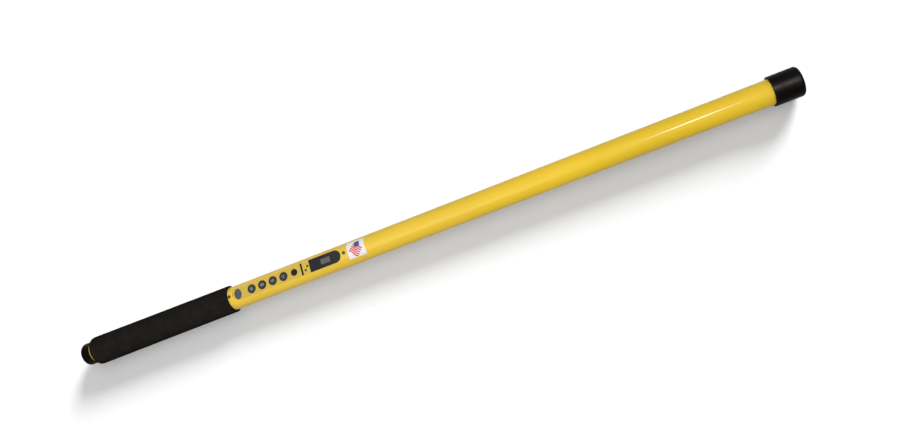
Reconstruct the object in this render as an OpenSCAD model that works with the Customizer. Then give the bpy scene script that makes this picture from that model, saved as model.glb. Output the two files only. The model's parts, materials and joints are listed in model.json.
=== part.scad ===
// Magnetic locator: a one-piece tube wand with its control panel let into the tube.
// The tube lies along X, with the handle at -X and the sensing tip at +X.
// The panel faces +Z, and the origin lies under the middle of the tube, on the surface it rests on.

/* [Housing tube] */
// Length over both end caps
overall_length = 1066; // [1000:1:1160]
// Outside diameter of the tube
tube_od = 33.4; // [33:0.1:35]
// Wall of the tube
tube_wall = 4; // [3.7:0.05:4.2]

/* [Tip cap] */
// Wall of the soft cap on the sensing end
tip_cap_wall = 2.55; // [1.8:0.05:3.8]
// Length of the tip cap
tip_cap_length = 37; // [25:0.5:60]
// Thickness of the tip cap's end wall
tip_cap_end = 3.5; // [2.5:0.1:6]
// Rounding of the tip cap's outer edge
tip_cap_round = 4.5; // [1:0.1:4.8]
// Thickness of the cushion between the sensor tube and the tip cap
cushion_thickness = 12; // [8:0.5:20]

/* [Battery cap] */
// Wall of the cap on the handle end
battery_cap_wall = 1.4; // [1.1:0.05:2.1]
// Depth of the cap's side below the surface of the tube
battery_cap_inset = 0.2; // [0:0.05:0.5]
// Length of the battery cap
battery_cap_length = 16; // [13:0.5:24]
// Thickness of the battery cap's end wall
battery_cap_end = 3.5; // [3:0.1:6]
// Rounding of the battery cap's outer edge
battery_cap_round = 4; // [1:0.1:4.5]
// Room in the tube's bore around the boss that carries the contact
boss_room = 1.7; // [1.2:0.1:3.5]
// Length of the boss inside the cap
boss_length = 8; // [6:0.1:10]

/* [Foam grip] */
// Length of the foam sleeve
grip_length = 236.5; // [200:0.5:260]
// Thickness of the sleeve at the handle end
grip_rear_wall = 4.25; // [4:0.05:6.2]
// Thickness of the sleeve at the panel end
grip_front_wall = 3.05; // [2.3:0.05:3.8]
// Bare tube between the battery cap and the sleeve
grip_offset = 3; // [1:0.5:12]
// Rounding of the sleeve's rear edge
grip_rear_round = 3.8; // [1:0.1:3.8]
// Rounding of the sleeve's front edge
grip_front_round = 1.2; // [0.4:0.1:2]

/* [Control panel] */
// Tube between the grip and the rear end of the panel
panel_offset = 8; // [7.8:0.1:20]
// Length of the flat that is milled into the tube
panel_length = 172; // [165:0.5:185]
// Width of the flat
flat_width = 18.8; // [17.8:0.1:19.4]
// Thickness of the overlay that is glued to the flat
overlay_thickness = 0.5; // [0.3:0.05:0.8]
// Bare edge of the flat around the overlay
overlay_margin = 0.5; // [0.3:0.05:0.8]
// Distance of each panel screw from its end of the flat
screw_offset = 5.2; // [5:0.1:6]
// Diameter of a panel screw's head
screw_head_diameter = 4.8; // [4.4:0.1:5]
// Height of a panel screw's head
screw_head_height = 1.6; // [1.2:0.1:2]
// Diameter of a panel screw's shank
screw_diameter = 2.9; // [2.5:0.1:3]

/* [Buttons] */
// Shift of the button row from the middle between the flat's rear end and the window
row_offset = 2.7; // [0:0.1:4]
// Distance from button to button, and from the last button to the sound port
button_pitch = 17.1; // [16.6:0.1:17.8]
// Diameter of a button
button_diameter = 12.3; // [11:0.1:12.6]
// Height of a button above the overlay
button_height = 1; // [0.9:0.05:1.4]
// Travel of a button
button_travel = 0.8; // [0.5:0.05:1]
// Width of the flange that keeps a button in its hole
flange_width = 1.1; // [0.8:0.05:1.2]
// Thickness of the flange
flange_thickness = 1.2; // [0.8:0.05:1.4]
// Diameter of the stem under a button
stem_diameter = 3.4; // [2.8:0.1:3.8]
// Depth of the finger dish in the top of a button
dish_depth = 0.45; // [0.2:0.05:0.6]

/* [Sound port] */
// Diameter of the port's disc
port_diameter = 9.8; // [8:0.1:10.2]
// Depth of the ledge under the disc
port_ledge_depth = 0.5; // [0.3:0.05:0.6]
// Width of the ledge under the disc
port_ledge_width = 1.4; // [1:0.1:1.8]
// Diameter of the sounder
sounder_diameter = 12; // [10:0.1:12.6]
// Diameter of the sounder's mouth
sounder_mouth_diameter = 3; // [2:0.1:5]

/* [Display] */
// Length of the dark window over the display
window_length = 48; // [44:0.1:50]
// Thickness of the window
window_thickness = 0.8; // [0.6:0.05:1]
// Length of the display glass
display_length = 22; // [18:0.1:26]
// Width of the display glass
display_width = 11.4; // [10:0.1:12]
// Rim of the backlight around the display glass
backlight_rim = 0.8; // [0.4:0.1:0.9]

/* [Electronics] */
// Thickness of the chassis deck
deck_thickness = 1.6; // [1.2:0.1:2]
// Distance from the tube axis to the inside of the chassis rails
rail_inside = 9.4; // [9:0.1:9.8]
// Depth of the chassis rails below the tube axis
rail_depth = 2; // [1:0.1:6]
// Chassis beyond each panel screw
chassis_end = 6.5; // [5:0.1:10]
// Diameter of the screw bosses on the chassis
screw_boss_diameter = 7.6; // [6.5:0.1:8.4]
// Thickness of the circuit board
board_thickness = 1.6; // [1:0.1:2]
// Distance from the circuit board's ends to the ends of the flat
board_inset = 2; // [1:0.1:4]
// Diameter of the posts that carry the board
post_diameter = 4.6; // [4.2:0.1:5]
// Diameter of a board screw
board_screw_diameter = 2; // [1.8:0.1:2.2]
// Side of a push switch
switch_side = 6.2; // [5.4:0.1:7]
// Height of a push switch
switch_height = 3.6; // [3.4:0.1:4]
// Length of a cable socket
socket_length = 8; // [6:0.1:9]
// Width of a cable socket
socket_width = 10; // [9:0.1:12]
// Height of a cable socket
socket_height = 4.4; // [4:0.1:6]

/* [Sensors] */
// Distance from the chassis to the sensor tube
sensor_gap = 32.3; // [25:0.1:60]
// Distance of the lower sensor from the front end of the sensor tube
sensor_setback = 4.5; // [3:0.1:20]
// Distance of the upper sensor from the rear end of the sensor tube
sensor_tail = 8; // [4:0.1:20]
// Outside diameter of the sensor tube
sensor_tube_od = 16; // [15:0.1:17]
// Wall of the sensor tube
sensor_tube_wall = 1.5; // [1.2:0.05:1.7]
// Length of a sensor's winding former
former_length = 64; // [50:1:70]
// Thickness of a former's end flanges
former_flange = 3; // [2:0.1:5]
// Diameter of a former's barrel, inside its winding
former_barrel = 7; // [6:0.1:8]
// Diameter of a sensor's core
core_diameter = 3; // [2:0.1:4]
// Length of a centring ring
ring_length = 12; // [8:0.5:16]
// Number of centring rings
ring_count = 4; // [3:1:6]
// Diameter of a sensor cable
cable_diameter = 2.4; // [1.6:0.1:2.6]

/* [Batteries] */
// Diameter of an AA cell
cell_diameter = 14.2; // [13.5:0.1:14.5]
// Length of an AA cell with its button
cell_length = 50.5; // [49.5:0.1:50.5]
// Diameter of a cell's button
cell_button_diameter = 5.3; // [4.2:0.1:5.5]
// Height of a cell's button
cell_button_height = 1.1; // [1:0.1:1.5]
// Wire diameter of the contact spring
spring_wire = 0.8; // [0.6:0.05:1]
// Outside diameter of the contact spring at its base
spring_base_diameter = 11; // [9:0.1:12]
// Outside diameter of the contact spring at its top
spring_top_diameter = 7; // [6:0.1:9]
// Length of the contact spring in place
spring_length = 5.4; // [5:0.1:7]
// Thickness of the contact sheets
contact_thickness = 0.5; // [0.3:0.05:0.6]
// Width of the return strip
strip_width = 4; // [3:0.1:5]
// Length of the bulkhead ahead of the cells
bulkhead_length = 10; // [6:0.5:20]
// Diameter of the bulkhead's contact head
contact_head_diameter = 8; // [6:0.1:10]
// Height of the bulkhead's contact head
contact_head_height = 1.2; // [0.8:0.1:2]
// Diameter of a power lead
lead_diameter = 1.6; // [1.2:0.1:2]

/* [Clearances] */
// Radial room of a piece that is pushed onto or into another
push_fit = 0.05; // [0.02:0.01:0.1]
// Radial room of a piece that slides into the tube's bore
bore_room = 0.15; // [0.05:0.05:0.3]
// Room around a piece that moves
moving_room = 0.3; // [0.2:0.05:0.4]
// Radial room of the battery cap on the tube's turned end
cap_room = 0.2; // [0.1:0.05:0.3]
// Room between loosely placed pieces
loose_room = 0.3; // [0.2:0.05:0.4]

/* [Hidden] */
$fn = 72;

// Overrun of a cut past the surface that it opens
over = 1;

// Diameters and radii, and the height of the tube axis above the surface that the wand lies on
tube_id = tube_od - 2 * tube_wall;
tube_r = tube_od / 2;
bore_r = tube_id / 2;
seat_id = tube_od + 2 * push_fit;
tip_cap_od = seat_id + 2 * tip_cap_wall;
grip_rear_r = seat_id / 2 + grip_rear_wall;
grip_front_r = seat_id / 2 + grip_front_wall;
battery_cap_od = tube_od - 2 * battery_cap_inset;
battery_cap_id = battery_cap_od - 2 * battery_cap_wall;
tenon_od = battery_cap_id - 2 * cap_room;
boss_diameter = tube_id - 2 * boss_room;
axis_z = max(grip_rear_r, tip_cap_od / 2);

// Stations along the tube
butt_x = -overall_length / 2;
tip_x = overall_length / 2;
tube_x0 = butt_x + battery_cap_end;
shoulder_x = butt_x + battery_cap_length + loose_room;
tube_x1 = tip_x - tip_cap_end;
grip_x0 = butt_x + battery_cap_length + grip_offset;
grip_x1 = grip_x0 + grip_length;
panel_x0 = grip_x1 + panel_offset;
panel_x1 = panel_x0 + panel_length;
screw_x = [panel_x0 - screw_offset, panel_x1 + screw_offset];
port_place = 4;
display_gap = 0.3;

// Height of a point on the bore's wall at a distance y from the middle plane
function bore_height(y) = sqrt(bore_r * bore_r - y * y);

// Place of a button, or of the sound port, in the row
function button_x(place) = row_x + (place - port_place / 2) * button_pitch;

// Heights in the panel, from the tube axis
pocket_runout = 0.3;
flat_r = flat_width / 2;
pocket_r = flat_r + pocket_runout;
flat_z = sqrt(tube_r * tube_r - flat_r * flat_r);
overlay_r = flat_r - overlay_margin;
overlay_z = flat_z + overlay_thickness;
overlay_x0 = panel_x0 + pocket_r - overlay_r;
window_x1 = panel_x1 - pocket_r + overlay_r;
window_x0 = window_x1 - window_length;
window_z = flat_z + window_thickness;
display_x = (window_x0 + window_x1) / 2;
row_x = (panel_x0 + window_x0) / 2 + row_offset;
button_r = button_diameter / 2;
button_hole = button_diameter + 2 * moving_room;
button_z = overlay_z + button_height;
button_round = 0.6;
flange_r = button_r + flange_width;
flange_z1 = bore_height(flange_r) - moving_room;
flange_z0 = flange_z1 - flange_thickness;
port_room = 0.1;
port_floor_z = flat_z - port_ledge_depth;
port_sink = 0.2;
sounder_wall = 1;
spotface_z = tube_r - screw_head_height / 2;

// Heights and places in the electronics, from the tube axis
chassis_r = bore_r - bore_room;
chassis_x0 = screw_x[0] - chassis_end;
chassis_x1 = screw_x[1] + chassis_end;
deck_z1 = flange_z0 - button_travel - moving_room;
deck_z0 = deck_z1 - deck_thickness;
stem_hole = stem_diameter + 2 * moving_room;
switch_z1 = deck_z0 - loose_room;
switch_z0 = switch_z1 - switch_height;
stem_depth = 1;
stem_z0 = switch_z1 - stem_depth;
board_z1 = switch_z0;
board_z0 = board_z1 - board_thickness;
board_half = rail_inside - loose_room;
board_x0 = panel_x0 + board_inset;
board_x1 = panel_x1 - board_inset;
board_screw_head = 3.8;
board_screw_head_height = 1.3;
board_screw_grip = 3;
post_x = [
    (button_x(0) + button_x(1)) / 2,
    (button_x(1) + button_x(2)) / 2,
    (button_x(2) + button_x(3)) / 2,
    window_x0,
    display_x
];
chip_height = 1.4;
small_chip = 5.5;
large_chip = 9;
socket_wall = 1;
socket_depth = socket_length / 2;
socket_z = board_z0 - socket_height / 2;
socket_inset = 1;
sensor_socket_x = board_x1 - socket_inset;
power_socket_x = board_x0 + socket_inset;
screw_tip_z = deck_z1 + screw_diameter / 2;
sounder_top_z = bore_height(sounder_diameter / 2) - loose_room;
backlight_width = display_width + 2 * backlight_rim;
backlight_length = display_length + 2 * backlight_rim;
backlight_z = bore_height(backlight_width / 2) - loose_room;
display_z = flat_z - display_gap;

// Places in the sensor assembly
sensor_tube_x0 = chassis_x1 + sensor_gap;
sensor_tube_x1 = tube_x1 - cushion_thickness;
upper_x = sensor_tube_x0 + sensor_tail + former_length / 2;
lower_x = sensor_tube_x1 - sensor_setback - former_length / 2;
sensor_tube_r = sensor_tube_od / 2;
sensor_tube_id = sensor_tube_od - 2 * sensor_tube_wall;
former_r = sensor_tube_id / 2 - push_fit;
winding_room = 0.5;
winding_r = former_r - winding_room;
core_overhang = 2;
cable_path_r = (sensor_tube_r + bore_r) / 2;
cable_slot = cable_diameter + 2 * loose_room;
cable_spread = 2.5;
cable_run = 6;
cable_slot_length = 16;
cable_slot_x = lower_x - former_length / 2 - cable_slot_length;
ring_inset = 24;
ring_pitch = (sensor_tube_x1 - sensor_tube_x0 - 2 * ring_inset) / (ring_count - 1);

// Places in the battery bay
boss_x1 = tube_x0 + boss_length;
spring_x0 = boss_x1 + contact_thickness;
cell_x0 = spring_x0 + spring_length + loose_room;
cell_gap = 0.1;
cell_pitch = cell_length + cell_gap;
cell_count = 2;
bay_x1 = cell_x0 + cell_count * cell_pitch;
bulkhead_x0 = bay_x1 + contact_head_height;
bulkhead_x1 = bulkhead_x0 + bulkhead_length;
sleeve_r = bore_r - bore_room;
sleeve_bore = cell_diameter + 2 * loose_room;
strip_x0 = spring_x0 + loose_room;
strip_tail = 2;
strip_x1 = bulkhead_x1 + strip_tail;
strip_z0 = -sqrt(sleeve_r * sleeve_r - strip_width * strip_width / 4);
strip_z1 = strip_z0 + contact_thickness;
strip_room = 0.1;
tab_height = 4.4;
contact_disc = 2 * (-strip_z0 - tab_height / 2);
contact_shank = 3;
contact_tail_height = 1;
spring_turns = 3.5;
spring_steps = 12;
lead_straight = 24;
lead_corner = 8;

// Sweep settings
corner_steps = 4;
cable_sides = 8;
spring_sides = 6;

// Moves a piece from the tube axis to its place above the surface
module on_axis() {
    translate([0, 0, axis_z]) children();
}

// Round bar along X, from x0 to x1
module bar_x(x0, x1, d) {
    translate([x0, 0, 0]) rotate([0, 90, 0]) cylinder(h = x1 - x0, d = d);
}

// Tube along X, from x0 to x1
module tube_x(x0, x1, outside, inside) {
    difference() {
        bar_x(x0, x1, outside);
        bar_x(x0 - over, x1 + over, inside);
    }
}

// Turned piece on the X axis: its outline has the radius first, then the place along X
module turned_x() {
    rotate([0, 90, 0]) rotate_extrude() children();
}

// Round bar along Z at a place on the X axis
module bar_z(x, z0, z1, d) {
    translate([x, 0, z0]) cylinder(h = z1 - z0, d = d);
}

// Box that is centred on the X axis in width
module block(x0, x1, width, z0, z1) {
    translate([x0, -width / 2, z0]) cube([x1 - x0, width, z1 - z0]);
}

// Plate with round ends
module stadium(x0, x1, r, z0, z1) {
    block(x0 + r, x1 - r, 2 * r, z0, z1);
    for (x = [x0 + r, x1 - r])
        bar_z(x, z0, z1, 2 * r);
}

// Outline of a round end: a half section whose outer corner at x1 is rounded
module round_end(x0, x1, r, corner) {
    translate([0, x0]) square([r, x1 - corner - x0]);
    translate([0, x0]) square([r - corner, x1 - x0]);
    translate([r - corner, x1 - corner]) circle(r = corner);
}

// Vector helpers for the swept pieces
function unit(v) = v / norm(v);
function bend(a, b, c, s) = (1 - s) * (1 - s) * a + 2 * s * (1 - s) * b + s * s * c;

// Route with its corners rounded over a given run
function rounded(route, run) = [
    route[0],
    for (i = [1:len(route) - 2])
        for (k = [0:corner_steps])
            bend(
                route[i] + run * unit(route[i - 1] - route[i]),
                route[i],
                route[i] + run * unit(route[i + 1] - route[i]),
                k / corner_steps
            ),
    route[len(route) - 1]
];

// Direction of a route at one of its points
function heading(route, i) =
    unit(route[min(i + 1, len(route) - 1)] - route[max(i - 1, 0)]);

// Corners of the section at one point of a route; aside is never along the route
function section(route, i, d, sides, aside) =
    let (ahead = heading(route, i))
    let (across = unit(cross(ahead, aside)))
    let (up = cross(across, ahead))
    [for (k = [0:sides - 1])
        route[i] + d / 2 * (cos(360 * k / sides) * across + sin(360 * k / sides) * up)];

// Round wire along a route
module wire(route, d, sides, aside) {
    last = len(route) - 1;
    corners = [for (i = [0:last]) each section(route, i, d, sides, aside)];
    walls = [
        for (i = [0:last - 1])
            for (k = [0:sides - 1])
                let (a = i * sides + k)
                let (b = i * sides + (k + 1) % sides)
                each [[a, a + sides, b], [b, a + sides, b + sides]]
    ];
    start = [for (k = [1:sides - 2]) [0, k, k + 1]];
    end = [for (k = [1:sides - 2]) [last * sides, last * sides + k + 1, last * sides + k]];
    polyhedron(points = corners, faces = concat(walls, start, end));
}

// Outer tube, turned down at the handle end for the battery cap, with the milled flat and the
// openings of the panel
module housing_tube() {
    color("gold") on_axis() difference() {
        tube_x(tube_x0, tube_x1, tube_od, tube_id);
        tube_x(tube_x0 - over, shoulder_x, tube_od + 2 * over, tenon_od);
        stadium(panel_x0, panel_x1, pocket_r, flat_z, tube_od);
        for (place = [0:port_place - 1])
            bar_z(button_x(place), 0, tube_od, button_hole);
        bar_z(button_x(port_place), 0, tube_od, port_diameter - 2 * port_ledge_width);
        bar_z(button_x(port_place), port_floor_z, tube_od, port_diameter + 2 * port_room);
        block(
            display_x - display_length / 2 - loose_room,
            display_x + display_length / 2 + loose_room,
            display_width + 2 * loose_room,
            0,
            tube_od
        );
        for (x = screw_x) {
            bar_z(x, 0, tube_od, screw_diameter + 2 * push_fit);
            bar_z(x, spotface_z, tube_od, screw_head_diameter + 2 * push_fit);
        }
    }
}

// Soft cap over the sensing end
module tip_cap() {
    color("black") on_axis() difference() {
        turned_x() intersection() {
            round_end(tip_x - tip_cap_length, tip_x, tip_cap_od / 2, tip_cap_round);
            translate([0, tip_x - tip_cap_length]) square([tip_cap_od, tip_cap_length]);
        }
        bar_x(tip_x - tip_cap_length - over, tube_x1, seat_id);
    }
}

// Foam disc that holds the sensor tube off the tip cap
module tip_cushion() {
    color("darkslategray") on_axis()
        bar_x(sensor_tube_x1, tube_x1, tube_id - 2 * bore_room);
}

// Foam sleeve, thicker at the handle end
module foam_grip() {
    color("black") on_axis() difference() {
        turned_x() {
            polygon([
                [0, grip_x0],
                [grip_rear_r - grip_rear_round, grip_x0],
                [grip_rear_r, grip_x0 + grip_rear_round],
                [grip_front_r, grip_x1 - grip_front_round],
                [grip_front_r - grip_front_round, grip_x1],
                [0, grip_x1]
            ]);
            translate([grip_rear_r - grip_rear_round, grip_x0 + grip_rear_round])
                circle(r = grip_rear_round);
            translate([grip_front_r - grip_front_round, grip_x1 - grip_front_round])
                circle(r = grip_front_round);
        }
        bar_x(grip_x0 - over, grip_x1 + over, seat_id);
    }
}

// Cap that pulls off the handle end, with the boss that carries the contact
module battery_cap() {
    color("black") on_axis() {
        difference() {
            mirror([1, 0, 0]) turned_x()
                round_end(-butt_x - battery_cap_length, -butt_x, battery_cap_od / 2, battery_cap_round);
            bar_x(tube_x0, butt_x + battery_cap_length + over, battery_cap_id);
        }
        bar_x(butt_x + battery_cap_end / 2, boss_x1, boss_diameter);
    }
}

// Contact disc on the boss
module cap_contact() {
    color("goldenrod") on_axis() bar_x(boss_x1, spring_x0, contact_disc);
}

// Route of the contact spring's wire, and the least gap between its turns
spring_last = spring_turns * spring_steps;
spring_route = [
    for (i = [0:spring_last])
        let (share = i / spring_last)
        let (outside = spring_base_diameter + (spring_top_diameter - spring_base_diameter) * share)
        let (r = (outside - spring_wire) / 2)
        let (turn = 360 * i / spring_steps)
        [
            spring_x0 + spring_wire / 2 + (spring_length - spring_wire) * share,
            r * cos(turn),
            r * sin(turn)
        ]
];
spring_gap = min([
    for (i = [0:spring_last])
        for (j = [i + spring_steps / 2:1:spring_last])
            norm(spring_route[i] - spring_route[j]) - spring_wire
]);
echo(spring_gap = spring_gap);

// Tapered coil that presses on the rear cell
module contact_spring() {
    color("silver") on_axis() wire(spring_route, spring_wire, spring_sides, [1, 0, 0]);
}

// Dry cell with its button towards the panel
module battery(place) {
    x0 = cell_x0 + place * cell_pitch;
    x1 = x0 + cell_length - cell_button_height;
    on_axis() {
        bar_x(x0, x1, cell_diameter);
        bar_x(x1 - over, x0 + cell_length, cell_button_diameter);
    }
}

module rear_battery() {
    color("slategray") battery(0);
}

module front_battery() {
    color("slategray") battery(1);
}

// Liner that centres the cells in the tube, grooved for the return strip
module battery_sleeve() {
    color("dimgray") on_axis() difference() {
        tube_x(strip_x0 + contact_thickness, bulkhead_x0, 2 * sleeve_r, sleeve_bore);
        strip_groove(strip_x0, bulkhead_x0 + over);
    }
}

// Groove for the return strip
module strip_groove(x0, x1) {
    block(x0, x1, strip_width + 2 * strip_room, -bore_r, strip_z1 + strip_room);
}

// Strip that brings the cap's contact forward past the cells
module return_strip() {
    color("goldenrod") on_axis() {
        block(strip_x0, strip_x1, strip_width, strip_z0, strip_z1);
        block(strip_x0, strip_x0 + contact_thickness, strip_width, strip_z0, strip_z0 + tab_height);
    }
}

// Plug that closes the battery bay
module battery_bulkhead() {
    color("dimgray") on_axis() difference() {
        tube_x(bulkhead_x0, bulkhead_x1, 2 * sleeve_r, contact_shank + 2 * push_fit);
        strip_groove(bulkhead_x0 - over, bulkhead_x1 + over);
    }
}

// Rivet that meets the front cell's button
module bulkhead_contact() {
    color("goldenrod") on_axis() {
        bar_x(bay_x1, bulkhead_x0, contact_head_diameter);
        bar_x(bay_x1, bulkhead_x1 + contact_tail_height, contact_shank);
        bar_x(bulkhead_x1, bulkhead_x1 + contact_tail_height, 2 * contact_shank);
    }
}

// Two leads from the battery bay to the circuit board
module power_leads() {
    spread = socket_width / 4;
    socket_mouth = power_socket_x + socket_depth / 2;
    sides = [
        [1, [bulkhead_x1 + contact_tail_height, 0, 0]],
        [-1, [strip_x1, 0, strip_z0 + lead_diameter / 2]]
    ];
    color("firebrick") on_axis()
        for (lead = sides)
            wire(
                rounded([
                    lead[1],
                    lead[1] + [lead_straight, 0, 0],
                    [power_socket_x - lead_straight, lead[0] * spread, socket_z],
                    [socket_mouth, lead[0] * spread, socket_z]
                ], lead_corner),
                lead_diameter,
                cable_sides,
                [0, 0, 1]
            );
}

// Thin printed plate on the flat
module panel_overlay() {
    color("khaki") on_axis() difference() {
        stadium(overlay_x0, panel_x1, overlay_r, flat_z, overlay_z);
        block(window_x0 - display_gap, panel_x1, tube_od, flat_z - over, overlay_z + over);
        for (place = [0:port_place - 1])
            bar_z(button_x(place), flat_z - over, overlay_z + over, button_hole);
        bar_z(button_x(port_place), flat_z - over, overlay_z + over, port_diameter + 2 * port_room);
    }
}

// Two screws that hold the chassis to the tube
module panel_screws() {
    color("dimgray") on_axis() for (x = screw_x) {
        bar_z(x, screw_tip_z, spotface_z + screw_head_height, screw_diameter);
        bar_z(x, spotface_z, spotface_z + screw_head_height, screw_head_diameter);
    }
}

// Dark window over the display, round at its front end
module lcd_window() {
    color("midnightblue") on_axis() difference() {
        stadium(window_x0 - window_length, window_x1, overlay_r, flat_z, window_z);
        block(window_x0 - 2 * window_length, window_x0, tube_od, flat_z - over, window_z + over);
    }
}

// Display glass, up in its opening in the tube
module lcd_glass() {
    color("darkseagreen") on_axis()
        block(
            display_x - display_length / 2,
            display_x + display_length / 2,
            display_width,
            backlight_z,
            display_z
        );
}

// Backlight that carries the glass on the chassis
module lcd_backlight() {
    color("white") on_axis()
        block(
            display_x - backlight_length / 2,
            display_x + backlight_length / 2,
            backlight_width,
            deck_z1,
            backlight_z
        );
}

// Round button with a finger dish, a keeper flange and a stem
module push_button(place) {
    ball_r = (button_r * button_r + dish_depth * dish_depth) / (2 * dish_depth);
    color("dimgray") on_axis() translate([button_x(place), 0, 0]) difference() {
        rotate_extrude() intersection() {
            union() {
                translate([0, stem_z0]) square([stem_diameter / 2, flange_z0 - stem_z0 + over]);
                translate([0, flange_z0]) square([flange_r, flange_thickness]);
                round_end(flange_z0, button_z, button_r, button_round);
            }
            translate([0, stem_z0]) square([tube_od, button_z - stem_z0]);
        }
        translate([0, 0, button_z - dish_depth + ball_r]) sphere(r = ball_r);
    }
}

module light_button() {
    push_button(0);
}

module volume_button() {
    push_button(1);
}

module gain_button() {
    push_button(2);
}

module power_button() {
    push_button(3);
}

// Black disc that closes the sound port
module sound_port() {
    color("black") on_axis()
        bar_z(button_x(port_place), port_floor_z, overlay_z - port_sink, port_diameter);
}

// Sounder under the port, on the chassis deck
module sounder() {
    x = button_x(port_place);
    floor_z = deck_z1 + sounder_wall;
    color("black") on_axis() difference() {
        bar_z(x, deck_z1, sounder_top_z, sounder_diameter);
        bar_z(x, floor_z, sounder_top_z - sounder_wall, sounder_diameter - 2 * sounder_wall);
        bar_z(x, floor_z, sounder_top_z + over, sounder_mouth_diameter);
    }
}

// Carrier inside the tube: a deck with rails down its sides, bosses for the panel screws above
// and posts for the circuit board below
module chassis() {
    rail_width = chassis_r - rail_inside;
    color("darkslategray") on_axis() difference() {
        intersection() {
            bar_x(chassis_x0, chassis_x1, 2 * chassis_r);
            union() {
                block(chassis_x0, chassis_x1, 2 * chassis_r, deck_z0, deck_z1);
                for (y = [-chassis_r, rail_inside])
                    translate([chassis_x0, y, -rail_depth])
                        cube([chassis_x1 - chassis_x0, rail_width, rail_depth + deck_z1]);
                for (x = screw_x)
                    bar_z(x, deck_z0, chassis_r, screw_boss_diameter);
                for (x = post_x)
                    bar_z(x, board_z1, deck_z1, post_diameter);
            }
        }
        for (x = screw_x)
            bar_z(x, screw_tip_z, chassis_r, screw_diameter + 2 * push_fit);
        for (x = post_x)
            bar_z(x, board_z1 - over, board_z1 + board_screw_grip, board_screw_diameter + 2 * push_fit);
        for (place = [0:port_place - 1])
            bar_z(button_x(place), deck_z0 - over, deck_z1 + over, stem_hole);
    }
}

// Circuit board, screwed up against the chassis posts
module main_board() {
    color("darkgreen") on_axis() difference() {
        block(board_x0, board_x1, 2 * board_half, board_z0, board_z1);
        for (x = post_x)
            bar_z(x, board_z0 - over, board_z1 + over, board_screw_diameter + 2 * push_fit);
    }
}

// Screws that hold the board to its posts
module board_screws() {
    color("silver") on_axis() for (x = post_x) {
        bar_z(x, board_z0 - board_screw_head_height, board_z1 + board_screw_grip, board_screw_diameter);
        bar_z(x, board_z0 - board_screw_head_height, board_z0, board_screw_head);
    }
}

// One switch under each button, open on top for the button's stem
module push_switches() {
    stem_floor_z = stem_z0 - button_travel - moving_room;
    color("silver") on_axis() for (place = [0:port_place - 1]) difference() {
        x = button_x(place);
        block(x - switch_side / 2, x + switch_side / 2, switch_side, switch_z0, switch_z1);
        bar_z(x, stem_floor_z, switch_z1 + over, stem_hole);
    }
}

// Square chips on the underside of the board, one below each button
module board_chips() {
    chip_sides = [small_chip, large_chip, large_chip, small_chip];
    color("black") on_axis() for (place = [0:port_place - 1]) {
        side = chip_sides[place];
        x = button_x(place);
        block(x - side / 2, x + side / 2, side, board_z0 - chip_height, board_z0);
    }
}

// Box socket under the board, open at one end
module cable_socket(x0, mouth_x) {
    color("ivory") on_axis() difference() {
        block(x0, x0 + socket_length, socket_width, board_z0 - socket_height, board_z0);
        block(
            mouth_x - socket_depth,
            mouth_x + socket_depth,
            socket_width - 2 * socket_wall,
            board_z0 - socket_height + socket_wall,
            board_z0 - socket_wall
        );
    }
}

module sensor_socket() {
    cable_socket(sensor_socket_x - socket_length, sensor_socket_x);
}

module power_socket() {
    cable_socket(power_socket_x, power_socket_x);
}

// Stiff inner tube that keeps the two sensors in line, slotted for the lower sensor's cable
module sensor_tube() {
    color("tan") on_axis() difference() {
        tube_x(sensor_tube_x0, sensor_tube_x1, sensor_tube_od, sensor_tube_id);
        block(
            cable_slot_x,
            cable_slot_x + cable_slot_length,
            2 * cable_spread + 2 * cable_slot,
            -sensor_tube_od,
            0
        );
    }
}

// Rubber rings that centre the sensor tube, notched for the cable
module centring_rings() {
    color("black") on_axis() for (i = [0:ring_count - 1]) {
        x = sensor_tube_x0 + ring_inset + i * ring_pitch - ring_length / 2;
        difference() {
            tube_x(x, x + ring_length, tube_id - 2 * bore_room, sensor_tube_od + 2 * push_fit);
            block(x - over, x + ring_length + over, 2 * cable_spread + 2 * cable_slot, -bore_r, 0);
        }
    }
}

// Cables from the board to the two sensors
module sensor_cables() {
    start_x = sensor_socket_x - socket_depth / 2;
    side = socket_width / 4;
    entry = -former_r / 2;
    upper_end = upper_x - former_length / 2;
    lower_end = lower_x - former_length / 2;
    routes = [
        [
            [start_x, side, socket_z],
            [chassis_x1, side, socket_z],
            [sensor_tube_x0 - cable_run, 0, entry],
            [upper_end, 0, entry]
        ],
        [
            [start_x, -side, socket_z],
            [chassis_x1, -side, socket_z],
            [sensor_tube_x0 - 2 * cable_run, -cable_spread, -cable_path_r],
            [cable_slot_x + cable_slot / 2, -cable_spread, -cable_path_r],
            [lower_end - cable_run, 0, entry],
            [lower_end, 0, entry]
        ]
    ];
    color("gray") on_axis() for (route = routes)
        wire(rounded(route, cable_run / 2), cable_diameter, cable_sides, [0, 0, 1]);
}

// Winding former of one sensor
module former(x) {
    half = former_length / 2;
    color("ivory") on_axis() difference() {
        union() {
            bar_x(x - half, x + half, former_barrel);
            for (end_x = [x - half, x + half - former_flange])
                bar_x(end_x, end_x + former_flange, 2 * former_r);
        }
        bar_x(x - half - over, x + half + over, core_diameter + 2 * push_fit);
    }
}

// Winding of one sensor, between its former's flanges
module winding(x) {
    half = former_length / 2 - former_flange;
    color("chocolate") on_axis()
        tube_x(x - half, x + half, 2 * winding_r, former_barrel + 2 * push_fit);
}

// Magnetic core of one sensor
module core(x) {
    half = former_length / 2 - core_overhang;
    color("lightsteelblue") on_axis() bar_x(x - half, x + half, core_diameter);
}

module lower_former() {
    former(lower_x);
}

module lower_winding() {
    winding(lower_x);
}

module lower_core() {
    core(lower_x);
}

module upper_former() {
    former(upper_x);
}

module upper_winding() {
    winding(upper_x);
}

module upper_core() {
    core(upper_x);
}

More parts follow.
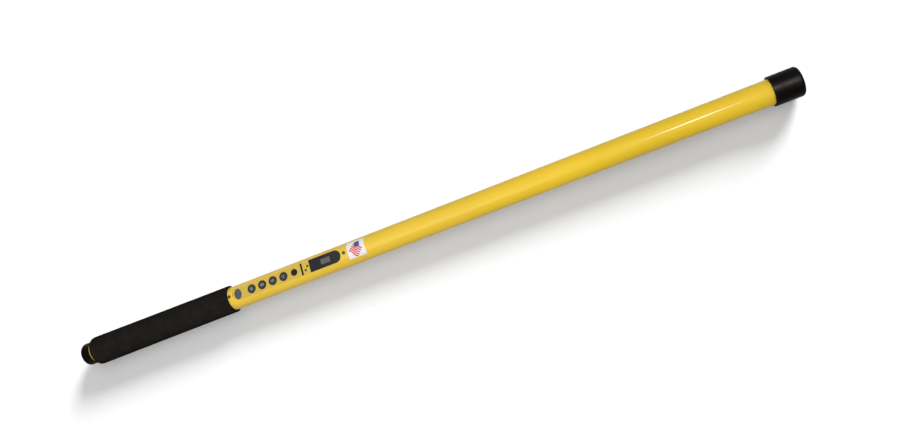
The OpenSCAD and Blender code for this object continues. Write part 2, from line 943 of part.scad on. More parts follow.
housing_tube();
tip_cap();
tip_cushion();
foam_grip();
battery_cap();
cap_contact();
contact_spring();
rear_battery();
front_battery();
battery_sleeve();
return_strip();
battery_bulkhead();
bulkhead_contact();
power_leads();
panel_overlay();
panel_screws();
lcd_window();
lcd_glass();
lcd_backlight();
light_button();
volume_button();
gain_button();
power_button();
sound_port();
sounder();
chassis();
main_board();
board_screws();
push_switches();
board_chips();
sensor_socket();
power_socket();
sensor_tube();
centring_rings();
sensor_cables();
lower_former();
lower_winding();
lower_core();
upper_former();
upper_winding();
upper_core();
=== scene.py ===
import json
import math

import bmesh
import bpy
from mathutils import Matrix, Vector, noise


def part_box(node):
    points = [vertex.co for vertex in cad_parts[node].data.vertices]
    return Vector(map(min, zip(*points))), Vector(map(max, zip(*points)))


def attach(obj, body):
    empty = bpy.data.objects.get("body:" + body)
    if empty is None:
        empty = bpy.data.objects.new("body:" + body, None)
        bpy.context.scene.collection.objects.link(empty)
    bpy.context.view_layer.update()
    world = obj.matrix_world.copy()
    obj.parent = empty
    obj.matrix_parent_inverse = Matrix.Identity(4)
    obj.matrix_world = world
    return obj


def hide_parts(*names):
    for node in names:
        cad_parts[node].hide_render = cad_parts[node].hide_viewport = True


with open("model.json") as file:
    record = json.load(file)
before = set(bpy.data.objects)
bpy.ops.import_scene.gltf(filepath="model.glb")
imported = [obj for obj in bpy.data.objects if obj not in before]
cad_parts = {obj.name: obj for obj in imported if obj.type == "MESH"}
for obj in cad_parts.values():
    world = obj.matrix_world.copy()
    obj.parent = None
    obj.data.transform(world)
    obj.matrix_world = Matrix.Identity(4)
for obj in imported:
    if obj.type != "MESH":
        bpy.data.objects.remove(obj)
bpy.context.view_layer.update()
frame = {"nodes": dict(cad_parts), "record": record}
nodes = frame["nodes"]
scene = bpy.context.scene

MM = 0.001

# Places read from the solids, in metres
tube_low, tube_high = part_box("housing_tube")
AXIS_Z = (tube_low.z + tube_high.z) / 2
TUBE_R = (tube_high.z - tube_low.z) / 2
OVERLAY_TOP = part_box("panel_overlay")[1].z
OVERLAY_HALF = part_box("panel_overlay")[1].y
WINDOW_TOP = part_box("lcd_window")[1].z


def middle(node):
    low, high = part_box(node)
    return (low + high) / 2


# Flat patterns that are laid on a surface as thin closed solids
class Pattern:
    """Small faces in the plane (u, v), in metres."""

    def __init__(self):
        self.points = []
        self.faces = []

    def grid(self, rows, closed=False):
        """Rows of points joined into quads; closed joins each row's last point to its first."""
        first = len(self.points)
        width = len(rows[0])
        for row in rows:
            self.points.extend(row)
        for i in range(len(rows) - 1):
            for k in range(width if closed else width - 1):
                a = first + i * width + k
                b = first + i * width + (k + 1) % width
                self.faces.append((a, b, b + width, a + width))
        return self

    def ribbon(self, path, width, across=3):
        """A band of even width along a path, with square ends."""
        rows = []
        for i, p in enumerate(path):
            before, after = path[max(i - 1, 0)], path[min(i + 1, len(path) - 1)]
            du, dv = after[0] - before[0], after[1] - before[1]
            size = math.hypot(du, dv)
            rows.append([
                (
                    p[0] - dv / size * width * (0.5 - k / across),
                    p[1] + du / size * width * (0.5 - k / across),
                )
                for k in range(across + 1)
            ])
        return self.grid(rows)

    def ring(self, inner, outer, centre=(0, 0), stretch=(1, 1), rings=3, sides=48):
        """An annulus, or a disc if its inner radius is 0; stretch makes it an oval."""
        rows = []
        for i in range(rings + 1):
            r = inner + (outer - inner) * i / rings
            rows.append([
                (
                    centre[0] + r * stretch[0] * math.cos(2 * math.pi * k / sides),
                    centre[1] + r * stretch[1] * math.sin(2 * math.pi * k / sides),
                )
                for k in range(sides)
            ])
        return self.grid(rows, closed=True)

    def quad(self, a, b, c, d, along=8, across=8):
        """A four-sided patch from its corners, in order round it."""
        rows = []
        for i in range(along + 1):
            left, right = between(a, b, i / along), between(d, c, i / along)
            rows.append([between(left, right, k / across) for k in range(across + 1)])
        return self.grid(rows)


def between(a, b, share):
    return (a[0] + (b[0] - a[0]) * share, a[1] + (b[1] - a[1]) * share)


def line(a, b, steps=10):
    return [between(a, b, i / steps) for i in range(steps + 1)]


def arc(centre, r, start, end, steps=14):
    turns = [math.radians(start + (end - start) * i / steps) for i in range(steps + 1)]
    return [(centre[0] + r * math.cos(t), centre[1] + r * math.sin(t)) for t in turns]


def link(name, points, faces, smooth=False):
    mesh = bpy.data.meshes.new(name)
    mesh.from_pydata(points, [], faces)
    made = bmesh.new()
    made.from_mesh(mesh)
    bmesh.ops.recalc_face_normals(made, faces=made.faces)
    made.to_mesh(mesh)
    made.free()
    mesh.polygons.foreach_set("use_smooth", [smooth] * len(mesh.polygons))
    obj = bpy.data.objects.new(name, mesh)
    scene.collection.objects.link(obj)
    return obj


def laid(name, pattern, surface, height, material, body="wand"):
    """A thin closed solid on a surface. Its top lies height above it, its underside a hair below."""
    sunk = 0.02 * MM
    per_metre = 1e8  # points that round to the same step of this grid are joined
    places, index = {}, []
    for u, v in pattern.points:
        key = (round(u * per_metre), round(v * per_metre))
        index.append(places.setdefault(key, len(places)))
    flat = [(u / per_metre, v / per_metre) for u, v in places]
    count = len(flat)
    points = [surface(u, v, height) for u, v in flat] + [surface(u, v, -sunk) for u, v in flat]
    faces, edges = [], {}
    for face in pattern.faces:
        corners = list(dict.fromkeys(index[i] for i in face))
        if len(corners) < 3:
            continue
        faces.append(corners)
        faces.append([i + count for i in reversed(corners)])
        for a, b in zip(corners, corners[1:] + corners[:1]):
            edges.setdefault((min(a, b), max(a, b)), []).append((a, b))
    for uses in edges.values():
        if len(uses) == 1:
            a, b = uses[0]
            faces.append([b, a, a + count, b + count])
    obj = link(name, points, faces)
    obj.data.materials.append(material)
    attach(obj, body)
    return obj


def on_plane(z):
    return lambda u, v, rise: Vector((u, v, z + rise))


def on_tube(u, v, rise):
    turn = v / TUBE_R
    r = TUBE_R + rise
    return Vector((u, r * math.sin(turn), AXIS_Z + r * math.cos(turn)))


# Materials: each is built from noise, so that no surface is one flat colour
class Shader:
    """One Principled material, with helpers that add texture nodes."""

    def __init__(self, name):
        self.material = bpy.data.materials.new(name)
        self.material.use_nodes = True
        self.tree = self.material.node_tree
        self.bsdf = self.tree.nodes["Principled BSDF"]
        self.place = self.tree.nodes.new("ShaderNodeTexCoord").outputs["Object"]

    def add(self, kind, links=None, **settings):
        node = self.tree.nodes.new(kind)
        for key, value in settings.items():
            setattr(node, key, value)
        for key, value in (links or {}).items():
            if isinstance(value, bpy.types.NodeSocket):
                self.tree.links.new(value, node.inputs[key])
            else:
                node.inputs[key].default_value = value
        return node

    def noise(self, scale, detail=3.0, roughness=0.5, stretch=None):
        place = self.place
        if stretch:
            place = self.add("ShaderNodeMapping", {"Vector": place, "Scale": stretch}).outputs[0]
        links = {"Vector": place, "Scale": scale, "Detail": detail, "Roughness": roughness}
        return self.add("ShaderNodeTexNoise", links).outputs[0]

    def cells(self, scale):
        return self.add("ShaderNodeTexVoronoi", {"Vector": self.place, "Scale": scale}).outputs[0]

    def ramp(self, value, stops):
        node = self.add("ShaderNodeValToRGB", {0: value})
        points = node.color_ramp.elements
        while len(points) < len(stops):
            points.new(0.5)
        for point, (where, colour) in zip(points, stops):
            point.position = where
            point.color = (*colour, 1.0)
        return node.outputs[0]

    def spread(self, value, low, high, start=0.3, end=0.7):
        links = {0: value, 1: start, 2: end, 3: low, 4: high}
        return self.add("ShaderNodeMapRange", links).outputs[0]

    def maths(self, operation, a, b):
        return self.add("ShaderNodeMath", {0: a, 1: b}, operation=operation).outputs[0]

    def mix(self, share, a, b):
        node = self.add("ShaderNodeMix", {0: share, 6: a, 7: b}, data_type="RGBA")
        return node.outputs[2]

    def bump(self, height, strength, distance):
        links = {"Strength": strength, "Distance": distance, "Height": height}
        self.tree.links.new(self.add("ShaderNodeBump", links).outputs[0], self.bsdf.inputs["Normal"])

    def set(self, **sockets):
        for key, value in sockets.items():
            socket = self.bsdf.inputs[key.replace("_", " ")]
            if isinstance(value, bpy.types.NodeSocket):
                self.tree.links.new(value, socket)
            else:
                socket.default_value = value


def tint(colour, factor):
    return tuple(min(1.0, c * factor) for c in colour)


def plain(name, colour, rough, vary=0.12, scale=60.0, grain=2500.0, bump=0.15, **sockets):
    """A moulded or sheet material: drifting tone, uneven gloss and a fine grain."""
    s = Shader(name)
    broad = s.noise(scale, detail=4.0)
    fine = s.noise(grain, detail=2.0)
    s.set(
        Base_Color=s.ramp(broad, [(0.3, tint(colour, 1 - vary)), (0.7, tint(colour, 1 + vary))]),
        Roughness=s.spread(broad, rough * 0.85, min(1.0, rough * 1.15)),
        **sockets,
    )
    s.bump(fine, bump, 0.05 * MM)
    return s.material


def metal(name, colour, rough, stretch=(1, 12, 12)):
    """Drawn or turned metal with faint lines along X."""
    s = Shader(name)
    lines = s.noise(300.0, detail=3.0, stretch=stretch)
    s.set(
        Base_Color=s.ramp(lines, [(0.3, tint(colour, 0.8)), (0.7, colour)]),
        Roughness=s.spread(lines, rough * 0.8, rough * 1.25),
        Metallic=1.0,
    )
    s.bump(lines, 0.1, 0.02 * MM)
    return s.material


YELLOW = (0.83, 0.55, 0.018)
PALE_YELLOW = (0.84, 0.60, 0.60)
SCUFFED_YELLOW = (0.86, 0.68, 0.20)
PALE_X_RANGE = (-150 * MM, 250 * MM)
GRIME_AT_CAP = 9 * MM
GRIME_AT_GRIP = 7 * MM
# Reach of the painted shade behind and under the foam's rear edge
SHADE_BEHIND_GRIP = (2.3 * MM, 0.9 * MM)
SHADE_UNDER_GRIP = 1.0 * MM


def tube_yellow():
    """Coloured plastic tube: a little paler towards the handle, scuffed, with grime at the caps and painted
    shade at the foam's rear edge.
    """
    s = Shader("tube_yellow")
    drift = s.noise(7.0, detail=3.0)
    drawn = s.noise(30.0, detail=4.0, stretch=(0.6, 9, 9))
    scuffs = s.noise(55.0, detail=6.0, roughness=0.65, stretch=(0.35, 6, 6))
    scuffed = s.spread(scuffs, 0.0, 1.0, 0.66, 0.74)
    along = s.add("ShaderNodeSeparateXYZ", {0: s.place}).outputs[0]
    fresh = s.ramp(drift, [(0.3, tint(YELLOW, 0.95)), (0.7, tint(YELLOW, 1.04))])
    # Tone a little paler towards the handle.
    pale_share = s.spread(along, 0.05, 0.0, *PALE_X_RANGE)
    tone = s.mix(pale_share, fresh, (*PALE_YELLOW, 1.0))
    cap_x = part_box("tip_cap")[0].x
    grip_low, grip_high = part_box("foam_grip")
    near_cap = s.spread(along, 0.0, 1.0, cap_x - GRIME_AT_CAP, cap_x)
    near_grip = s.spread(along, 1.0, 0.0, grip_high.x, grip_high.x + GRIME_AT_GRIP)
    patchy = s.spread(drawn, 0.0, 0.5, 0.35, 0.7)
    grime = s.maths("MULTIPLY", s.maths("MAXIMUM", near_cap, near_grip), patchy)
    worn = s.mix(s.maths("MULTIPLY", scuffed, 0.16), tone, (*SCUFFED_YELLOW, 1.0))
    grimy = s.mix(grime, worn, (*tint(YELLOW, 0.45), 1.0))
    # Painted shade: the tube darkens to near black just behind and just under the foam's rear edge, in
    # place of the foam's shadow on the bare ring.
    first, full = (grip_low.x - reach for reach in SHADE_BEHIND_GRIP)
    at_foam = s.spread(along, 0.0, 1.0, first, full)
    under_foam = s.spread(along, 1.0, 0.0, grip_low.x, grip_low.x + SHADE_UNDER_GRIP)
    foam_edge_shade = s.maths("MULTIPLY", at_foam, under_foam)
    s.set(
        Base_Color=s.mix(foam_edge_shade, grimy, (*tint(YELLOW, 0.04), 1.0)),
        Roughness=s.maths("ADD", s.spread(drawn, 0.13, 0.19), s.maths("MULTIPLY", scuffed, 0.22)),
        Specular_IOR_Level=0.18,
    )
    s.bump(s.maths("ADD", s.noise(900.0, detail=2.0), scuffs), 0.05, 0.03 * MM)
    return s.material


def overlay_yellow():
    """Printed film with a fine velvet texture, a little duller than the tube."""
    s = Shader("overlay_yellow")
    broad = s.noise(35.0, detail=4.0)
    fine = s.noise(5200.0, detail=1.0)
    film = (0.585, 0.415, 0.06)
    s.set(
        Base_Color=s.ramp(broad, [(0.3, tint(film, 0.96)), (0.7, tint(film, 1.03))]),
        Roughness=s.spread(fine, 0.34, 0.46),
        Specular_IOR_Level=0.3,
    )
    s.bump(fine, 0.12, 0.02 * MM)
    return s.material


VINYL_DARK = (0.0006, 0.0005, 0.0004)
VINYL_RUBBED = (0.0020, 0.0018, 0.0015)


def black_vinyl():
    """Dipped vinyl cap: satin black with shallow ripples and paler rubbed spots."""
    s = Shader("black_vinyl")
    rubbed = s.noise(120.0, detail=6.0, roughness=0.7)
    ripple = s.noise(260.0, detail=3.0, stretch=(1, 0.6, 0.6))
    s.set(
        Base_Color=s.ramp(rubbed, [(0.35, VINYL_DARK), (0.72, VINYL_RUBBED)]),
        Roughness=s.spread(rubbed, 0.27, 0.52),
        Specular_IOR_Level=0.03,
    )
    s.bump(ripple, 0.25, 0.12 * MM)
    return s.material


def black_foam():
    """Closed-cell foam: fine pits between the cells, no gloss."""
    s = Shader("black_foam")
    cells = s.cells(2100.0)
    tone = s.noise(70.0, detail=5.0)
    pits = s.spread(cells, 0.0, 1.0, 0.1, 0.6)
    base = s.ramp(tone, [(0.3, (0.0160, 0.0138, 0.0118)), (0.7, (0.0235, 0.0204, 0.0176))])
    s.set(
        Base_Color=s.mix(s.maths("MULTIPLY", pits, 0.4), base, (0.005, 0.005, 0.005, 1.0)),
        Roughness=s.spread(tone, 0.82, 0.96),
        Specular_IOR_Level=0.0,
    )
    s.bump(s.maths("SUBTRACT", s.noise(420.0, detail=3.0), cells), 0.6, 0.18 * MM)
    return s.material


MATERIALS = {
    "yellow_tube": tube_yellow(),
    "yellow_overlay": overlay_yellow(),
    "black_vinyl": black_vinyl(),
    "black_foam": black_foam(),
    "button_rubber": plain(
        "button_rubber", (0.050, 0.052, 0.050), 0.5, vary=0.15, scale=500.0, Specular_IOR_Level=0.15
    ),
    "black_plastic": plain(
        "black_plastic", (0.008, 0.008, 0.008), 0.5, scale=200.0, Specular_IOR_Level=0.12
    ),
    "dark_window": plain(
        "dark_window", (0.010, 0.008, 0.015), 0.1, vary=0.3, grain=900.0, bump=0.02, Specular_IOR_Level=0.16
    ),
    "display_glass": plain("display_glass", (0.060, 0.060, 0.053), 0.25, vary=0.06, scale=90.0, bump=0.02),
    "white_plastic": plain("white_plastic", (0.72, 0.71, 0.67), 0.45, vary=0.04),
    "dark_steel": metal("dark_steel", (0.09, 0.085, 0.08), 0.35),
    "steel": metal("steel", (0.60, 0.60, 0.59), 0.3),
    "brass": metal("brass", (0.72, 0.52, 0.20), 0.3),
    "copper_winding": metal("copper_winding", (0.58, 0.25, 0.11), 0.28, stretch=(18, 1, 1)),
    "cell_wrap": plain("cell_wrap", (0.16, 0.18, 0.21), 0.35, scale=90.0, Metallic=0.4),
    "green_board": plain("green_board", (0.02, 0.16, 0.05), 0.4, vary=0.25, scale=300.0),
    "glass_fibre": plain("glass_fibre", (0.50, 0.43, 0.26), 0.4, scale=180.0),
    "soft_rubber": plain("soft_rubber", (0.02, 0.02, 0.02), 0.7, scale=150.0),
    "grey_foam": plain("grey_foam", (0.15, 0.15, 0.15), 0.95, scale=300.0, grain=1500.0, bump=0.5),
    "grey_cable": plain("grey_cable", (0.22, 0.22, 0.22), 0.5, scale=200.0),
    "red_lead": plain("red_lead", (0.42, 0.025, 0.02), 0.45, scale=200.0),
}
for part in frame["record"]["subparts"]:
    for held in nodes[part["node"]].material_slots:
        held.material = MATERIALS[part["material_slot"]]

INK_BLACK = plain("ink_black", (0.004, 0.004, 0.004), 0.5, vary=0.2, scale=700.0, Specular_IOR_Level=0.1)
INK_GREY = plain("ink_grey", (0.30, 0.30, 0.28), 0.5, vary=0.1, scale=900.0)
# Painted shade: the dark ring near each button's edge stands in for the shade in the gap round the button.
BUTTON_EDGE_SHADE = plain("ink_ring", (0.008, 0.008, 0.008), 0.5, vary=0.2, scale=700.0, Specular_IOR_Level=0.12)
INK_RED = plain("ink_red", (0.62, 0.055, 0.06), 0.4, vary=0.1, scale=400.0)
INK_BLUE = plain("ink_blue", (0.035, 0.045, 0.22), 0.4, vary=0.12, scale=400.0)
DECAL_WHITE = plain("decal_white", (0.76, 0.76, 0.78), 0.35, vary=0.04, scale=150.0)
PATCH_SLATE = plain("patch_slate", (0.035, 0.045, 0.058), 0.3, vary=0.25, scale=260.0)

# Camera
CAMERA_PLACE = Vector((0.26026, -0.27872, 0.98956))
CAMERA_RIGHT = Vector((0.915686, -0.295514, -0.272380))
CAMERA_UP = Vector((0.350747, 0.918487, 0.182642))
CAMERA_BACK = Vector((0.196204, -0.262779, 0.944697))
camera_data = bpy.data.cameras.new("camera")
camera_data.sensor_width = 36.0
camera_data.lens = 30.4
camera_data.clip_end = 50.0
camera = bpy.data.objects.new("camera", camera_data)
turn = Matrix((CAMERA_RIGHT, CAMERA_UP, CAMERA_BACK)).transposed().to_4x4()
camera.matrix_world = Matrix.Translation(CAMERA_PLACE) @ turn
scene.collection.objects.link(camera)
scene.camera = camera


# Foam grip: a sleeve with a soft, slightly uneven skin
def foam_grip():
    low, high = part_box("foam_grip")
    bore = TUBE_R + 0.05 * MM
    rear_r, front_r = AXIS_Z, 19.8 * MM
    rear_round, front_round = 3.0 * MM, 1.2 * MM
    skin_depth = 2.5 * MM
    broad_dent, small_dent = 0.10 * MM, 0.05 * MM
    rear_steps, steps, front_steps, sides = 10, 230, 6, 128
    outline = []
    for i in range(rear_steps + 1):
        t = math.radians(90 * i / rear_steps)
        outline.append((
            low.x + rear_round * (1 - math.sin(t)),
            rear_r - rear_round * (1 - math.cos(t)),
        ))
    outline.reverse()
    start, end = low.x + rear_round, high.x - front_round
    for i in range(1, steps):
        share = i / steps
        outline.append((start + (end - start) * share, rear_r + (front_r - rear_r) * share))
    for i in range(front_steps + 1):
        t = math.radians(90 * i / front_steps)
        outline.append((
            high.x - front_round * (1 - math.sin(t)),
            front_r - front_round * (1 - math.cos(t)),
        ))
    rear_face = [(low.x, bore + (outline[0][1] - bore) * share) for share in (0.0, 0.5)]
    front_face = [(high.x, bore + (outline[-1][1] - bore) * share) for share in (0.5, 0.0)]
    profile = rear_face + outline + front_face
    points, faces = [], []
    for x, r in profile:
        for k in range(sides):
            a = 2 * math.pi * k / sides
            y, z = math.cos(a), math.sin(a)
            skin = min(1.0, max(0.0, (r - bore) / skin_depth))
            broad = noise.noise(Vector((x * 60, y * 1.6, z * 1.6)))
            small = noise.noise(Vector((x * 320, y * 7, z * 7)))
            dent = broad_dent * (broad - 1) / 2 + small_dent * (small - 1) / 2
            here = r + dent * skin
            points.append(Vector((x, here * y, AXIS_Z + here * z)))
    rows = len(profile)
    for i in range(rows):
        for k in range(sides):
            a, b = i * sides + k, i * sides + (k + 1) % sides
            c = ((i + 1) % rows) * sides
            faces.append((a, b, c + (k + 1) % sides, c + k))
    obj = link("grip_foam", points, faces, smooth=True)
    obj.data.materials.append(MATERIALS["black_foam"])
    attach(obj, "wand")
    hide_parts("foam_grip")


foam_grip()

# Printing on the overlay
BAR_X = -158.8 * MM
BAR_WIDTH = 2.8 * MM
INK = 0.03 * MM
panel = on_plane(OVERLAY_TOP)
bar_half = OVERLAY_HALF - 0.1 * MM
bar = Pattern().ribbon(line((BAR_X, -bar_half), (BAR_X, bar_half), 20), BAR_WIDTH)
laid("panel_bar", bar, panel, INK, INK_BLACK)


def triangle(x, y, size, up):
    """Arrow head that points across the panel."""
    tip = (x, y + up * size * 0.55)
    left, right = (x - size * 0.5, y - up * size * 0.45), (x + size * 0.5, y - up * size * 0.45)
    return Pattern().quad(left, right, tip, tip, along=6, across=6)


ARROW = 4.3 * MM
ARROW_UP = (-149.5 * MM, 2.4 * MM)
ARROW_DOWN = (-153.3 * MM, -3.6 * MM)
laid("arrow_up", triangle(*ARROW_UP, ARROW, 1), panel, INK, INK_BLACK)
laid("arrow_down", triangle(*ARROW_DOWN, ARROW, -1), panel, INK, INK_BLACK)

# Bare oval patch in the round rear end of the panel
PATCH_X = -261.7 * MM
PATCH_HALF = (5.6, 7.7)  # in millimetres along and across the panel
PATCH_RISE = 0.08 * MM
patch = Pattern().ring(0.0, MM, (PATCH_X, 0), PATCH_HALF, rings=6, sides=64)
laid("panel_patch", patch, panel, PATCH_RISE, PATCH_SLATE)

# Face of the display, seen in the window
FACE_X = (-128.8 * MM, -114.6 * MM)
FACE_Y = 3.8 * MM
FACE_RISE = 0.02 * MM
face = Pattern().quad(
    (FACE_X[0], -FACE_Y), (FACE_X[1], -FACE_Y), (FACE_X[1], FACE_Y), (FACE_X[0], FACE_Y)
)
display = laid("display_face", face, on_plane(WINDOW_TOP), FACE_RISE, MATERIALS["display_glass"])

# Painted shade rings near the buttons' edges, and printed symbols, laid in their finger dishes
BUTTON_R = 6.15 * MM
DISH_DEPTH = 0.45 * MM
DISH_R = (BUTTON_R * BUTTON_R + DISH_DEPTH * DISH_DEPTH) / (2 * DISH_DEPTH)
DISH_TOP = OVERLAY_TOP + 1.0 * MM


def in_dish(node):
    centre = middle(node)

    def place(u, v, rise):
        fall = DISH_R - math.sqrt(DISH_R * DISH_R - u * u - v * v)
        return Vector((centre.x + u, centre.y + v, DISH_TOP - DISH_DEPTH + fall + rise))

    return place


STROKE = 0.55 * MM


def sun():
    disc, inner, outer = 1.05 * MM, 1.65 * MM, 2.75 * MM
    rays = 8
    made = Pattern().ring(0.0, disc, sides=24)
    for i in range(rays):
        a = math.radians(360 * i / rays)
        ends = [(r * math.cos(a), r * math.sin(a)) for r in (inner, outer)]
        made.ribbon(line(*ends, 4), STROKE)
    return made


def speaker():
    made = Pattern()
    back, mouth = (-2.4 * MM, 0.8 * MM), (-0.1 * MM, 2.1 * MM)
    neck = -1.4 * MM
    made.quad((back[0], -back[1]), (neck, -back[1]), (neck, back[1]), (back[0], back[1]))
    made.quad((neck, -back[1]), (mouth[0], -mouth[1]), (mouth[0], mouth[1]), (neck, back[1]))
    for r in (1.5 * MM, 2.6 * MM):
        made.ribbon(arc((0.0, 0.0), r, -42, 42), STROKE)
    return made


def wave():
    length, height, half_waves = 5.4 * MM, 1.4 * MM, 3
    steps = 36
    path = []
    for i in range(steps + 1):
        share = i / steps - 0.5
        path.append((share * length, height * math.sin(share * half_waves * math.pi)))
    return Pattern().ribbon(path, STROKE)


def stroke_bar():
    half, width = 1.9 * MM, 0.75 * MM
    return Pattern().ribbon(line((0, -half), (0, half), 14), width)


SYMBOLS = {"light": sun, "volume": speaker, "gain": wave, "power": stroke_bar}
RING_INNER, RING_OUTER = 4.4 * MM, 5.65 * MM
RING_RISE = 0.02 * MM
for use, symbol in SYMBOLS.items():
    body = use + "_button"
    dish = in_dish(body)
    ring = Pattern().ring(RING_INNER, RING_OUTER, rings=4, sides=64)
    laid(use + "_ring", ring, dish, RING_RISE, BUTTON_EDGE_SHADE, body)
    laid(use + "_symbol", symbol(), dish, INK, INK_GREY, body)

# Painted shade of the cross recesses in the panel screws' heads: flat black crosses laid on the heads
screw_low, screw_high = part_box("panel_screws")
HEAD_R = 2.4 * MM
RECESS_REACH, RECESS_HALF = 1.45 * MM, 0.3 * MM
RECESS_RISE = 0.015 * MM


def cross(x):
    """Two crossing slots, centred at x on the panel's middle line."""
    reach, half = RECESS_REACH, RECESS_HALF
    made = Pattern()
    made.quad((x - reach, -half), (x + reach, -half), (x + reach, half), (x - reach, half), 12, 2)
    for side in (1, -1):
        near, far = side * half, side * reach
        made.quad((x - half, near), (x + half, near), (x + half, far), (x - half, far), 2, 6)
    return made


for name, x in (("rear", screw_low.x + HEAD_R), ("front", screw_high.x - HEAD_R)):
    laid("screw_recess_shade_" + name, cross(x), on_plane(screw_high.z), RECESS_RISE, INK_BLACK)

# Square decal round the tube: a plain flag of red bands and a blue block on white
DECAL_X = (-86.9 * MM, -60.8 * MM)
DECAL_HALF = 12.5 * MM
FILM = 0.06 * MM
sheet = Pattern().quad(
    (DECAL_X[0], -DECAL_HALF), (DECAL_X[1], -DECAL_HALF),
    (DECAL_X[1], DECAL_HALF), (DECAL_X[0], DECAL_HALF), 24, 32,
)
laid("decal_film", sheet, on_tube, FILM, DECAL_WHITE)
DECAL_MIDDLE = sum(DECAL_X) / 2


def wavy(start, end, swing, steps=24):
    """Path from start to end that swings once to each side."""
    du, dv = end[0] - start[0], end[1] - start[1]
    size = math.hypot(du, dv)
    path = []
    for i in range(steps + 1):
        share = i / steps
        off = swing * math.sin(share * 2 * math.pi)
        path.append((
            start[0] + du * share - dv / size * off,
            start[1] + dv * share + du / size * off,
        ))
    return path


BANDS = 5
BAND_STEP = 2.2 * MM
BAND_WIDTH = 2.1 * MM
BAND_SWING = 1.0 * MM
BAND_RISE = 0.015 * MM
BAND_FIRST = (-5.8 * MM, 4.4 * MM)
BAND_LAST = (4.6 * MM, -6.8 * MM)
BLOCK_CORNERS = ((-1.5 * MM, 2.0 * MM), (6.0 * MM, 2.0 * MM), (6.6 * MM, 9.8 * MM), (-0.9 * MM, 9.8 * MM))
BLOCK_RISE = 0.05 * MM


def on_decal(place, shift=0.0):
    """A place given from the decal's middle line, moved by shift both along and round the tube."""
    return (DECAL_MIDDLE + place[0] + shift, place[1] + shift)


for i in range(BANDS):
    shift = (i - (BANDS - 1) / 2) * BAND_STEP
    path = wavy(on_decal(BAND_FIRST, shift), on_decal(BAND_LAST, shift), BAND_SWING)
    band = Pattern().ribbon(path, BAND_WIDTH)
    laid("decal_band_" + str(i + 1), band, on_tube, FILM + BAND_RISE, INK_RED)
block = Pattern().quad(*(on_decal(corner) for corner in BLOCK_CORNERS))
laid("decal_block", block, on_tube, FILM + BLOCK_RISE, INK_BLUE)


# Floor, light and background
FLOOR_SIZE = 6.0
FLOOR_GREY = 0.45
FLOOR_BOUNCE = 0.25
FLOOR_GLOW = 0.13
SKY = 0.12
BACKDROP = 1.05  # a little over white, so that render noise doesn't show in it


def backdrop_share(shader_tree):
    """1 for rays that see the background itself, 0 for rays that only gather light."""
    path = shader_tree.nodes.new("ShaderNodeLightPath")
    total = None
    for ray in ("Is Camera Ray", "Is Glossy Ray", "Is Transmission Ray"):
        if total is None:
            total = path.outputs[ray]
            continue
        joined = shader_tree.nodes.new("ShaderNodeMath")
        joined.operation = "MAXIMUM"
        shader_tree.links.new(total, joined.inputs[0])
        shader_tree.links.new(path.outputs[ray], joined.inputs[1])
        total = joined.outputs[0]
    return total


def make_floor():
    corners = ((-1, -1), (1, -1), (1, 1), (-1, 1))
    points = [Vector((x * FLOOR_SIZE, y * FLOOR_SIZE, 0.0)) for x, y in corners]
    floor = link("floor", points, [(0, 1, 2, 3)])
    material = bpy.data.materials.new("floor_white")
    material.use_nodes = True
    tree = material.node_tree
    tree.nodes.clear()
    seen = backdrop_share(tree)
    diffuse = tree.nodes.new("ShaderNodeBsdfDiffuse")
    grey = tree.nodes.new("ShaderNodeMapRange")
    grey.inputs["To Min"].default_value = FLOOR_BOUNCE
    grey.inputs["To Max"].default_value = FLOOR_GREY
    tree.links.new(seen, grey.inputs["Value"])
    tree.links.new(grey.outputs[0], diffuse.inputs["Color"])
    glow = tree.nodes.new("ShaderNodeEmission")
    scale = tree.nodes.new("ShaderNodeMath")
    scale.operation = "MULTIPLY"
    scale.inputs[1].default_value = FLOOR_GLOW
    tree.links.new(seen, scale.inputs[0])
    tree.links.new(scale.outputs[0], glow.inputs["Strength"])
    both = tree.nodes.new("ShaderNodeAddShader")
    tree.links.new(diffuse.outputs[0], both.inputs[0])
    tree.links.new(glow.outputs[0], both.inputs[1])
    out = tree.nodes.new("ShaderNodeOutputMaterial")
    tree.links.new(both.outputs[0], out.inputs["Surface"])
    floor.data.materials.append(material)
    return floor


def make_world():
    world = bpy.data.worlds.new("studio")
    world.use_nodes = True
    tree = world.node_tree
    background = tree.nodes["Background"]
    background.inputs["Color"].default_value = (1.0, 1.0, 1.0, 1.0)
    strength = tree.nodes.new("ShaderNodeMapRange")
    strength.inputs["To Min"].default_value = SKY
    strength.inputs["To Max"].default_value = BACKDROP
    tree.links.new(backdrop_share(tree), strength.inputs["Value"])
    tree.links.new(strength.outputs[0], background.inputs["Strength"])
    scene.world = world


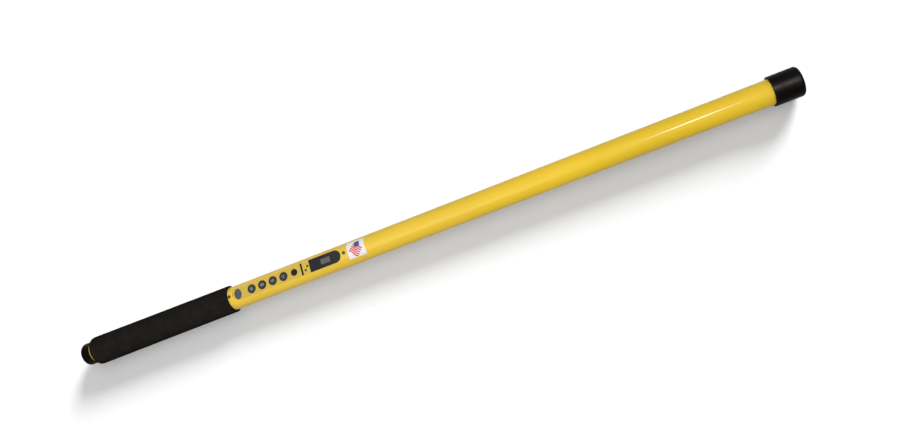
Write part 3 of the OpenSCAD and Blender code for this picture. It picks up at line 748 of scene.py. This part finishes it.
def place_light(data, place, target):
    obj = bpy.data.objects.new(data.name, data)
    obj.location = place
    aim = Vector(target) - Vector(place)
    obj.rotation_euler = aim.to_track_quat("-Z", "Y").to_euler()
    scene.collection.objects.link(obj)
    return obj


def soft_sun(name, place, level, spread):
    """Even light from one side; at level 1 a white face square to it renders white."""
    data = bpy.data.lights.new(name, "SUN")
    data.energy = level * math.pi
    data.angle = math.radians(spread)
    return place_light(data, place, (0.0, 0.0, 0.0))


def soft_box(name, place, target, size, watts):
    data = bpy.data.lights.new(name, "AREA")
    data.shape = "RECTANGLE"
    data.size, data.size_y = size
    data.energy = watts
    return place_light(data, place, target)


def sheen_lamp(name, place, target, size, watts):
    """A small lamp that shows as a highlight and adds no other light."""
    obj = soft_box(name, place, target, size, watts)
    obj.visible_diffuse = False
    return obj


def only_on(light, receiver):
    """Lets a light reach one object alone; all others still throw their shadow."""
    chosen = bpy.data.collections.new(light.name + "_on")
    chosen.objects.link(receiver)
    light.light_linking.receiver_collection = chosen


floor = make_floor()
make_world()
CAP_AT = (0.515, 0.0, 0.02)
STREAK_AT = (0.39, 0.0, 0.02)
HANDLE_AT = (-0.12, 0.0, 0.02)
front = soft_sun("front", place=(0.2, -0.12, 0.97), level=0.66, spread=80)
rear = soft_sun("rear", place=(0.2, 1.6, 1.3), level=0.10, spread=60)
handle_side = soft_box("handle_side", (-0.15, -0.45, 0.85), HANDLE_AT, size=(0.6, 0.6), watts=2.7)
for lamp in (front, rear, handle_side):
    lamp.data.use_shadow = False
sheen_lamp("tube_sheen", (0.56, -0.16, 1.25), STREAK_AT, size=(0.20, 0.06), watts=5.4)
cap_sheen = sheen_lamp("cap_sheen", (0.86, -0.03, 1.25), CAP_AT, size=(0.16, 0.50), watts=50.0)
cap_sheen.data.color = (1.0, 0.86, 0.76)
only_on(cap_sheen, nodes["tip_cap"])
shade = soft_sun("shade", place=(1.0, 1.0, 0.555), level=3.3, spread=24)
only_on(shade, floor)
scene.view_settings.view_transform = "Standard"
